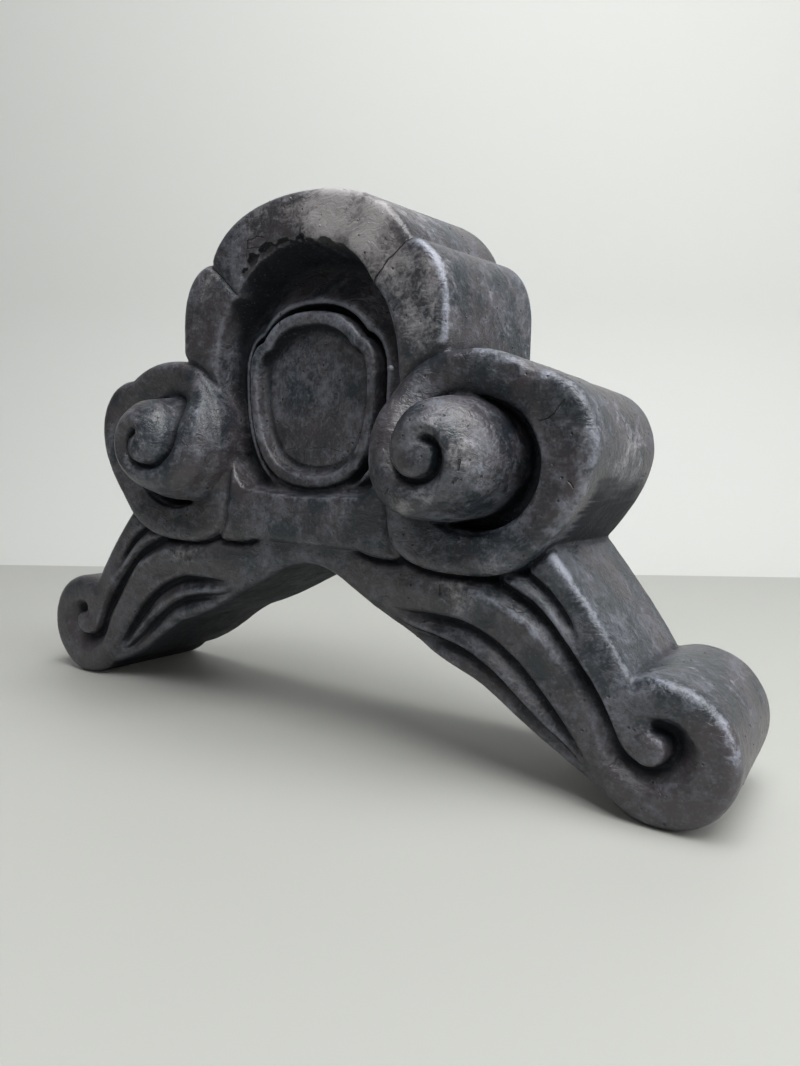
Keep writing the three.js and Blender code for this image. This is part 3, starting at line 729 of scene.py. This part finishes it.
    # rubbed edges, partly worn and partly a painted highlight along edges and crests
    rubbedAndHighlit = sums("ADD", standsOut, sums("MULTIPLY", rubbedAndHighlitHere, 0.1))
    rubbedAndHighlit = sums("ADD", rubbedAndHighlit, sums("ADD", about(patches, 0.2),
                                      sums("ADD", about(crumbs, 0.22), about(dust, 0.12))))
    rubbedAndHighlit = spread(rubbedAndHighlit, 0.1, 0.24)
    rubbedAndHighlit = sums("MULTIPLY", rubbedAndHighlit, sums("ADD", 0.3, sums("MULTIPLY", rubbedAndHighlitHere, 0.6)))
    colour = blend(rubbedAndHighlit, colour, claySkin["scuffAndHighlight"])
    # painted shade in the hollows, in the chipped flakes and under downward faces
    shadedHollow = sums("ADD", sitsInShade, about(patches, 0.1))
    shadedHollow = sums("ADD", shadedHollow, sums("MULTIPLY", kept("brokenHere"), 0.09))
    shadedHollow = spread(shadedHollow, 0.02, 0.25, 0.0, 0.86)
    colour = blend(shadedHollow, colour, claySkin["shadeAndSoot"])
    # pits, specks and hairlines
    pits = node("ShaderNodeTexVoronoi", feature="F1")
    pits.inputs["Scale"].default_value = claySkin["pitScale"]
    tree.links.new(objectPlace, pits.inputs["Vector"])
    pitted = sums("MULTIPLY", spread(pits.outputs["Distance"], 0.07, 0.15, 1.0, 0.0),
                  spread(patches, 0.46, 0.56))
    colour = blend(sums("MULTIPLY", pitted, 0.85), colour, claySkin["shadeAndSoot"])
    colour = blend(spread(dust, 0.58, 0.74, 0.0, 0.45), colour, claySkin["haze"])
    colour = blend(spread(dust, 0.26, 0.40, 0.65, 0.0), colour, claySkin["shadeAndSoot"])
    colour = blend(spread(scratched, 0.68, 0.8, 0.0, 0.35), colour, claySkin["haze"])
    colour = blend(spread(scored, 0.2, 0.33, 0.45, 0.0), colour, claySkin["shadeAndSoot"])
    away = lineDistance(hairlines, claySkin["hairlineWobble"])
    depth = node("ShaderNodeSeparateXYZ")
    tree.links.new(objectPlace, depth.inputs[0])
    facing = spread(depth.outputs["Y"], -0.016, -0.012, 1.0, 0.0)
    split = sums("MULTIPLY", spread(away, 0.00012, 0.0005, 1.0, 0.0), facing)
    colour = blend(sums("MULTIPLY", split, 0.9), colour, claySkin["shadeAndSoot"])
    tree.links.new(colour, shader.inputs["Base Color"])

    low, high = claySkin["roughness"]
    dulled = spread(sums("ADD", hazy, sums("MULTIPLY", rubbedAndHighlit, -0.15)), 0.3, 0.75, low, high)
    tree.links.new(sums("ADD", dulled, sums("MULTIPLY", shadedHollow, 0.35)), shader.inputs["Roughness"])
    relief = sums("MULTIPLY", strokes, 0.6)
    for height, share in ((patches, 0.9), (crumbs, 0.5), (dust, 0.16), (pitted, -0.6), (split, -1.2)):
        relief = sums("ADD", relief, sums("MULTIPLY", height, share))
    bump = node("ShaderNodeBump")
    bump.inputs["Strength"].default_value = claySkin["bump"]
    bump.inputs["Distance"].default_value = claySkin["bumpHeight"]
    tree.links.new(relief, bump.inputs["Height"])
    tree.links.new(bump.outputs["Normal"], shader.inputs["Normal"])
    gloss = sums("SUBTRACT", claySkin["gloss"], sums("MULTIPLY", shadedHollow, 0.5))
    tree.links.new(gloss, shader.inputs["Specular IOR Level"])
    return material


clay = buildClay()
print("clay mixed")

handWork = {
    "Waver": 0.0005,         # metres, slow unevenness of the modelled clay
    "Waver size": 0.038,
    "Chatter": 0.00022,      # finer marks of the smoothing tool
    "Chatter size": 0.0075,
    "Grit per area": 2600.0, # grains on a square metre
    "Grit size": 0.00055,
    "Seed": 7,
}


def buildHandWork(material):
    # uneven skin and the grains of grit that stand out of it
    tree = bpy.data.node_groups.new("handWork", "GeometryNodeTree")
    tree.interface.new_socket(name="Geometry", in_out="INPUT", socket_type="NodeSocketGeometry")
    for name, value in handWork.items():
        kind = "NodeSocketInt" if isinstance(value, int) else "NodeSocketFloat"
        tree.interface.new_socket(name=name, in_out="INPUT", socket_type=kind)
    tree.interface.new_socket(name="Geometry", in_out="OUTPUT", socket_type="NodeSocketGeometry")
    nodes, links = tree.nodes, tree.links
    given = nodes.new("NodeGroupInput").outputs
    result = nodes.new("NodeGroupOutput").inputs
    position = nodes.new("GeometryNodeInputPosition").outputs[0]
    normal = nodes.new("GeometryNodeInputNormal").outputs["Normal"]

    def calculated(operation, first, second):
        made = nodes.new("ShaderNodeMath")
        made.operation = operation
        for value, socket in ((first, made.inputs[0]), (second, made.inputs[1])):
            if isinstance(value, (int, float)):
                socket.default_value = value
            else:
                links.new(value, socket)
        return made.outputs[0]

    def unevenness(height, size, detail):
        made = nodes.new("ShaderNodeTexNoise")
        links.new(position, made.inputs["Vector"])
        links.new(calculated("DIVIDE", 1.0, size), made.inputs["Scale"])
        made.inputs["Detail"].default_value = detail
        return calculated("MULTIPLY", calculated("SUBTRACT", made.outputs[0], 0.5), height)

    lift = calculated("ADD", unevenness(given["Waver"], given["Waver size"], 1.0),
                      unevenness(given["Chatter"], given["Chatter size"], 2.0))
    offset = nodes.new("ShaderNodeVectorMath")
    offset.operation = "SCALE"
    links.new(normal, offset.inputs[0])
    links.new(calculated("MULTIPLY", lift, 2.0), offset.inputs["Scale"])
    shifted = nodes.new("GeometryNodeSetPosition")
    links.new(given["Geometry"], shifted.inputs["Geometry"])
    links.new(offset.outputs[0], shifted.inputs["Offset"])

    scattered = nodes.new("GeometryNodeDistributePointsOnFaces")
    links.new(shifted.outputs[0], scattered.inputs["Mesh"])
    links.new(given["Grit per area"], scattered.inputs["Density"])
    links.new(given["Seed"], scattered.inputs["Seed"])
    grain = nodes.new("GeometryNodeMeshIcoSphere")
    grain.inputs["Subdivisions"].default_value = 1
    links.new(given["Grit size"], grain.inputs["Radius"])
    sizes = nodes.new("FunctionNodeRandomValue")
    sizes.data_type = "FLOAT_VECTOR"
    sizes.inputs[0].default_value = (0.5, 0.5, 0.25)
    sizes.inputs[1].default_value = (1.5, 1.3, 0.6)
    links.new(given["Seed"], sizes.inputs["Seed"])
    placed = nodes.new("GeometryNodeInstanceOnPoints")
    links.new(scattered.outputs["Points"], placed.inputs["Points"])
    links.new(grain.outputs["Mesh"], placed.inputs["Instance"])
    links.new(scattered.outputs["Rotation"], placed.inputs["Rotation"])
    links.new(sizes.outputs[0], placed.inputs["Scale"])
    real = nodes.new("GeometryNodeRealizeInstances")
    links.new(placed.outputs[0], real.inputs[0])
    joined = nodes.new("GeometryNodeJoinGeometry")
    links.new(real.outputs[0], joined.inputs[0])
    links.new(shifted.outputs[0], joined.inputs[0])
    smooth = nodes.new("GeometryNodeSetShadeSmooth")
    links.new(joined.outputs[0], smooth.inputs["Geometry"])
    finished = nodes.new("GeometryNodeSetMaterial")
    finished.inputs["Material"].default_value = material
    links.new(smooth.outputs[0], finished.inputs["Geometry"])
    links.new(finished.outputs[0], result[0])
    return tree


def addHandWork(target, material):
    modifier = target.modifiers.new("handWork", "NODES")
    modifier.node_group = buildHandWork(material)
    for socket in modifier.node_group.interface.items_tree:
        if socket.in_out == "INPUT" and socket.name in handWork:
            modifier[socket.identifier] = handWork[socket.name]
    bakeModifiers(target, "with hand work")


addHandWork(tile, clay)

# where the pale warm ground shows, with a painted sheen on the lit sides and the conch bulbs: its place,
# reach and strength, in millimetres
bloomAndSheenSpots = [
    (22, -27, 262, 22, 1.1), (42, -27, 252, 18, 1.1), (52, -27, 240, 15, 0.8), (4, -27, 267, 16, 0.7),
    (-26, -27, 262, 18, 0.45), (-62, -27, 238, 16, 0.4), (70, -27, 226, 16, 0.75), (74, -27, 206, 16, 0.6),
    (-80, -27, 205, 12, 0.35), (98, -56, 160, 11, 0.4), (108, -52, 152, 11, 0.55), (116, -46, 166, 9, 0.5),
    (78, -50, 126, 10, 0.6), (92, -55, 132, 8, 0.45), (66, -46, 138, 9, 0.4), (-90, -57, 152, 13, 0.4),
    (-106, -48, 138, 16, 0.5), (-72, -44, 172, 12, 0.5), (150, -22, 160, 14, 0.3), (156, 20, 150, 34, 0.42),
    (92, -24, 88, 14, 0.5), (-88, -24, 88, 14, 0.5), (152, -24, 62, 12, 0.35), (203, -24, 46, 12, 0.4),
    (30, -26, 112, 14, 0.4), (-32, -26, 112, 16, 0.4), (0, -13, 165, 16, 0.35), (204, 10, 58, 24, 0.35),
    (110, -28, 101, 12, 0.3), (86, 0, 225, 30, 0.5), (84, 36, 200, 26, 0.4), (8, -12, 145, 12, 0.3),
]
# edges that were rubbed pale, and crests given a painted highlight: their course, reach and strength
rubbedAndHighlitLines = [
    ([(70, -25, 243.5), (79, -25, 236), (84, -25, 225), (85.4, -25, 195)], 3, 1.0),
    ([(-68, -25, 245), (-78, -25, 238), (-84, -25, 226), (-86, -25, 195)], 4, 0.4),
    ([(86, -26, 197), (104, -26, 195), (122, -26, 188)], 4, 0.5),
    ([(136, -25, 182), (150, -24, 173), (156, -23, 156), (152, -23, 138), (140, -23, 118)], 5, 0.8),
    ([(137, -21, 109), (153, -21, 95), (167, -20, 78), (175, -20, 64)], 4, 1.0),
    ([(84, -25, 84.5), (106, -25, 86.5), (123, -25, 81), (139.5, -25, 72.5), (153, -25, 62),
      (163, -25, 46)], 5, 0.6),
    ([(-84, -25, 84.5), (-106, -25, 86.5), (-123, -25, 81), (-139.5, -25, 72.5)], 5, 0.6),
    ([(186, -20, 61), (200, -21, 59), (211, -21, 51), (217, -20, 38)], 5, 0.9),
    ([(-66, -40, 170), (-60, -34, 160), (-58, -34, 146)], 6, 0.9),
    ([(-30, -20, 204), (-14, -21, 215), (0, -21, 217.5), (14, -21, 215), (30, -20, 204)], 3, 0.4),
    ([(-40, -20, 150), (-36, -20, 138), (-22, -20, 130), (0, -20, 128.5), (20, -20, 130)], 2.5, 0.35),
    ([(104, -52, 161), (112, -48, 156), (116, -44, 148), (115, -44, 138)], 4, 1.0),
    ([(102, -50, 138), (96, -50, 134.4), (88, -50, 133.6), (78, -48, 136), (70, -44, 142),
      (65, -40, 152)], 4, 1.1),
    ([(-100, -50, 138), (-88, -50, 133.6), (-74, -46, 138), (-65, -40, 152), (-64, -36, 162)], 4, 0.9),
]


def stretchDistance(places, first, last):
    # millimetres from each place to the stretch between two points
    first, last = np.array(first, float), np.array(last, float)
    step = last - first
    share = np.clip((places - first) @ step / (step @ step), 0, 1)[:, None]
    return np.linalg.norm(places - first - share * step, axis=1)


def markBloomAndHighlights(mesh):
    places = readPlaces(mesh)
    bloomAndSheen, rubbedAndHighlit = np.zeros(len(places)), np.zeros(len(places))
    for x, y, z, reach, strength in bloomAndSheenSpots:
        gap = np.linalg.norm(places - [x, y, z], axis=1)
        bloomAndSheen = np.maximum(bloomAndSheen, strength * np.exp(-(gap / reach) ** 2))
    for points, reach, strength in rubbedAndHighlitLines:
        for first, last in zip(points[:-1], points[1:]):
            gap = stretchDistance(places, first, last)
            rubbedAndHighlit = np.maximum(rubbedAndHighlit, strength * np.exp(-(gap / reach) ** 2))
    keepAttribute(mesh, "bloomAndSheen", bloomAndSheen)
    keepAttribute(mesh, "rubbedAndHighlitHere", rubbedAndHighlit)
    broken = np.zeros(len(places))
    for first, last, size in brokenEdges:
        gap = stretchDistance(places, first, last)
        broken = np.maximum(broken, ease(size + 2.4, size, gap))
    keepAttribute(mesh, "brokenHere", broken)
    x, y, z = places.T
    onPanel = (np.abs(x) < 34) & (np.abs(z - 172) < 40) & (np.abs(y + 13) < 2.5)
    keepAttribute(mesh, "panelFace", onPanel.astype(float))


markWearAndShade(tile.data)
markBloomAndHighlights(tile.data)
print("wear and bloom marked")

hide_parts("roof_end_tile")
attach(tile, "root")

studio = {
    "focalPixels": 870.0,      # on a picture 1066 pixels high
    "pictureHeight": 1066,
    "yaw": 34.98,
    "pitch": 6.86,
    "roll": 0.91,
    "cameraPlace": (0.2945, -0.3576, 0.1601),
    "wallDistance": 1.32,
    "wallHeight": 3.0,
    "sheetReach": 4.0,         # how far the floor comes forward and runs to each side
    "coveRadius": 0.35,
    "coveSteps": 24,
    "wallColour": (0.60, 0.61, 0.59),
    "wallRoughness": 0.7,
    "floorColour": (0.42, 0.425, 0.40),
    "floorRoughness": 0.55,
    "airColour": (0.93, 0.96, 1.0),
    "airStrength": 0.09,
}

# each light's name, place, target and size in metres, and its watts
lights = [
    ("ceilingLight", (0.5, -0.2, 1.45), (0.05, -0.05, 0.1), (1.2, 1.2), 31),
    ("windowLight", (1.5, 0.1, 0.8), (0, 0, 0.12), (1.2, 1.2), 15),
    ("roomLight", (-0.2, -1.7, 1.3), (0, 0, 0.14), (1.6, 1.2), 3),
]


def placeCamera():
    yaw, pitch, roll = (math.radians(studio[name]) for name in ("yaw", "pitch", "roll"))
    level = Vector((-math.sin(yaw), math.cos(yaw), 0))
    right = Vector((math.cos(yaw), math.sin(yaw), 0))
    forward = level * math.cos(pitch) - Vector((0, 0, math.sin(pitch)))
    up = Vector((0, 0, math.cos(pitch))) + level * math.sin(pitch)
    turnedRight = right * math.cos(roll) + up * math.sin(roll)
    turnedUp = up * math.cos(roll) - right * math.sin(roll)
    data = bpy.data.cameras.new("photoCamera")
    sensorWidth = 36
    data.sensor_width = sensorWidth
    data.lens = sensorWidth * studio["focalPixels"] / studio["pictureHeight"]
    data.clip_start = 0.01
    camera = bpy.data.objects.new("photoCamera", data)
    bpy.context.scene.collection.objects.link(camera)
    matrix = Matrix((turnedRight, turnedUp, -forward)).transposed().to_4x4()
    matrix.translation = Vector(studio["cameraPlace"])
    camera.matrix_world = matrix
    bpy.context.scene.camera = camera
    return level, right


def plainMaterial(name, colour, roughness):
    material = bpy.data.materials.new(name)
    material.use_nodes = True
    node = material.node_tree.nodes["Principled BSDF"]
    node.inputs["Base Color"].default_value = (*colour, 1)
    node.inputs["Roughness"].default_value = roughness
    return material


def makeStage(level, right):
    # floor and backdrop are one sheet, coved where they meet
    eye = Vector(studio["cameraPlace"])
    foot = Vector((eye.x, eye.y, 0)) + level * studio["wallDistance"]
    cove, steps, reach = studio["coveRadius"], studio["coveSteps"], studio["sheetReach"]
    profile = [(-reach, 0.0)]
    for i in range(steps + 1):
        angle = math.radians(90 * i / steps)
        profile.append((-cove + cove * math.sin(angle), cove - cove * math.cos(angle)))
    profile.append((0.0, studio["wallHeight"]))
    verts, faces = [], []
    for i, (out, up) in enumerate(profile):
        for side in (-reach, reach):
            verts.append(foot + level * out + right * side + Vector((0, 0, up)))
        if i:
            faces.append((2 * i - 2, 2 * i - 1, 2 * i + 1, 2 * i))
    mesh = bpy.data.meshes.new("studioFloor")
    mesh.from_pydata(verts, [], faces)
    floor = bpy.data.objects.new("studioFloor", mesh)
    bpy.context.scene.collection.objects.link(floor)
    mesh.materials.append(plainMaterial("palePlaster", studio["wallColour"], studio["wallRoughness"]))
    mesh.materials.append(plainMaterial("paleFloor", studio["floorColour"], studio["floorRoughness"]))
    mesh.polygons[0].material_index = 1
    mesh.polygons.foreach_set("use_smooth", [True] * len(mesh.polygons))


def addAreaLight(name, place, target, size, power):
    data = bpy.data.lights.new(name, "AREA")
    data.shape = "RECTANGLE"
    data.size, data.size_y = size
    data.energy = power
    light = bpy.data.objects.new(name, data)
    bpy.context.scene.collection.objects.link(light)
    light.location = place
    light.rotation_euler = (Vector(target) - Vector(place)).to_track_quat("-Z", "Y").to_euler()


cameraLevel, cameraRight = placeCamera()
makeStage(cameraLevel, cameraRight)
for light in lights:
    addAreaLight(*light)
world = bpy.data.worlds.new("studioAir")
bpy.context.scene.world = world
world.use_nodes = True
air = world.node_tree.nodes["Background"]
air.inputs["Color"].default_value = (*studio["airColour"], 1)
air.inputs["Strength"].default_value = studio["airStrength"]
bpy.context.scene.view_settings.view_transform = "Standard"

print("scene built")
